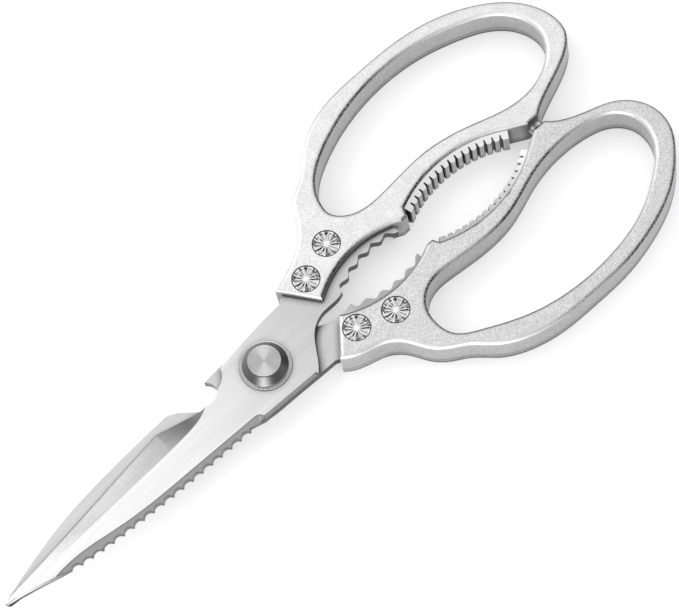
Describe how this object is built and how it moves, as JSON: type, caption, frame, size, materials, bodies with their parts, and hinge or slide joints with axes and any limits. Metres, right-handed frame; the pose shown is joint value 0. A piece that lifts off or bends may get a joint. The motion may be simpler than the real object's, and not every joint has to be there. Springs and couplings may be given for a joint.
{
  "type": "kitchen shears",
  "caption": "Kitchen shears with steel blades, a bottle-opener hook, a fish-scaler edge and cast metal handles with ribbed nut-cracker jaws.",
  "frame": {"origin": "where the pivot axis meets the plane that the shears lie on, which is the rear face of the pivot nut", "axes": "+Z along the pivot axis toward the front blade and the screw head, +X from the pivot toward the finger loops, so the tips point along -X, +Y toward the left handle"},
  "size_m": [0.2274, 0.0965, 0.0126],
  "materials": {
    "blade_steel": "fine brushed",
    "cast_handle": "satin blasted casting",
    "rivet_steel": "coined rays",
    "pivot_steel": "turned and polished",
    "washer_steel": "bright"
  },
  "bodies": {
    "front_half": {"front_blade": "blade_steel", "left_handle": "cast_handle", "left_near_rivet_front": "rivet_steel", "left_near_rivet_rear": "rivet_steel", "left_far_rivet_front": "rivet_steel", "left_far_rivet_rear": "rivet_steel", "pivot_screw": "pivot_steel", "head_washer": "washer_steel", "bearing_washer": "washer_steel", "spring_washer": "washer_steel", "pivot_nut": "washer_steel", "stop_pin": "washer_steel"},
    "rear_half": {"rear_blade": "blade_steel", "right_handle": "cast_handle", "right_near_rivet_front": "rivet_steel", "right_near_rivet_rear": "rivet_steel", "right_far_rivet_front": "rivet_steel", "right_far_rivet_rear": "rivet_steel"}
  },
  "joints": [
    {"name": "pivot", "type": "hinge", "parent": "front_half", "child": "rear_half", "pos_m": [0, 0, 0.00565], "axis": [0, 0, -1], "range_deg": [0, 100]}
  ]
}
